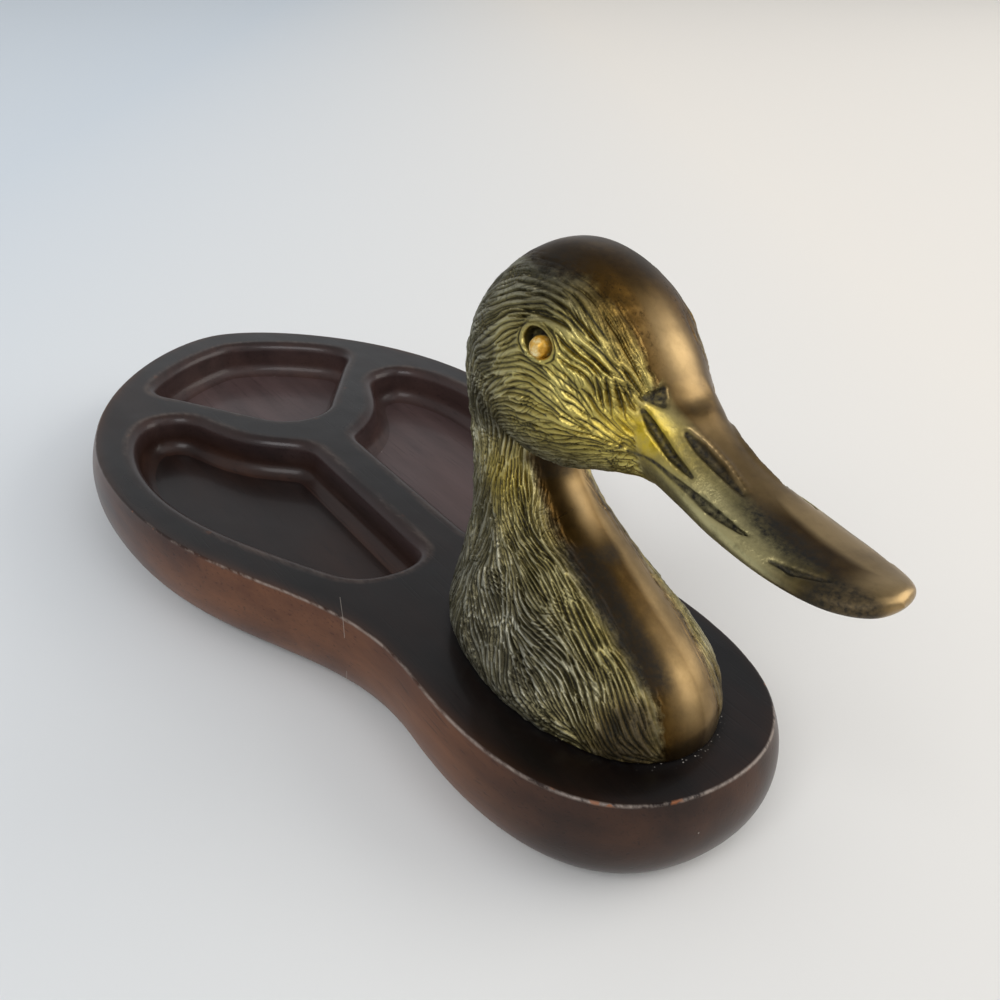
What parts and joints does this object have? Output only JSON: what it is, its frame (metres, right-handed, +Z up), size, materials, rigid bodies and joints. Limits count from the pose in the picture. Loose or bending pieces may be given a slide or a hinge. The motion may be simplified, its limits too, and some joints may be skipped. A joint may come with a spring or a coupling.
{
  "type": "duck head valet tray",
  "caption": "Dark hardwood valet tray with routed pockets parted by a Y-shaped divider, and a hollow brass duck's head standing on its round front lobe.",
  "frame": {"origin": "on the felt's underside, on the middle plane, halfway along the wooden tray", "axes": "+X along the tray towards the duck's bill, +Y to the duck's left, +Z up"},
  "size_m": [0.2977, 0.1324, 0.1125],
  "materials": {
    "stained_hardwood": "dark mahogany stain under satin lacquer, worn at the edges",
    "patinated_brass": "cast and chased, dark patina in the grooves, polished stripe",
    "polished_brass": "polished",
    "screw_steel": "plain machine screw",
    "zinc_steel": "bright zinc plate",
    "baize_felt": "pressed wool felt"
  },
  "bodies": {
    "root": {"tray_base": "stained_hardwood", "duck_head": "patinated_brass", "eye_left": "polished_brass", "eye_right": "polished_brass", "mounting_screw_front": "screw_steel", "mounting_screw_rear": "screw_steel", "washer_front": "zinc_steel", "washer_rear": "zinc_steel", "felt_pad": "baize_felt"}
  },
  "joints": []
}
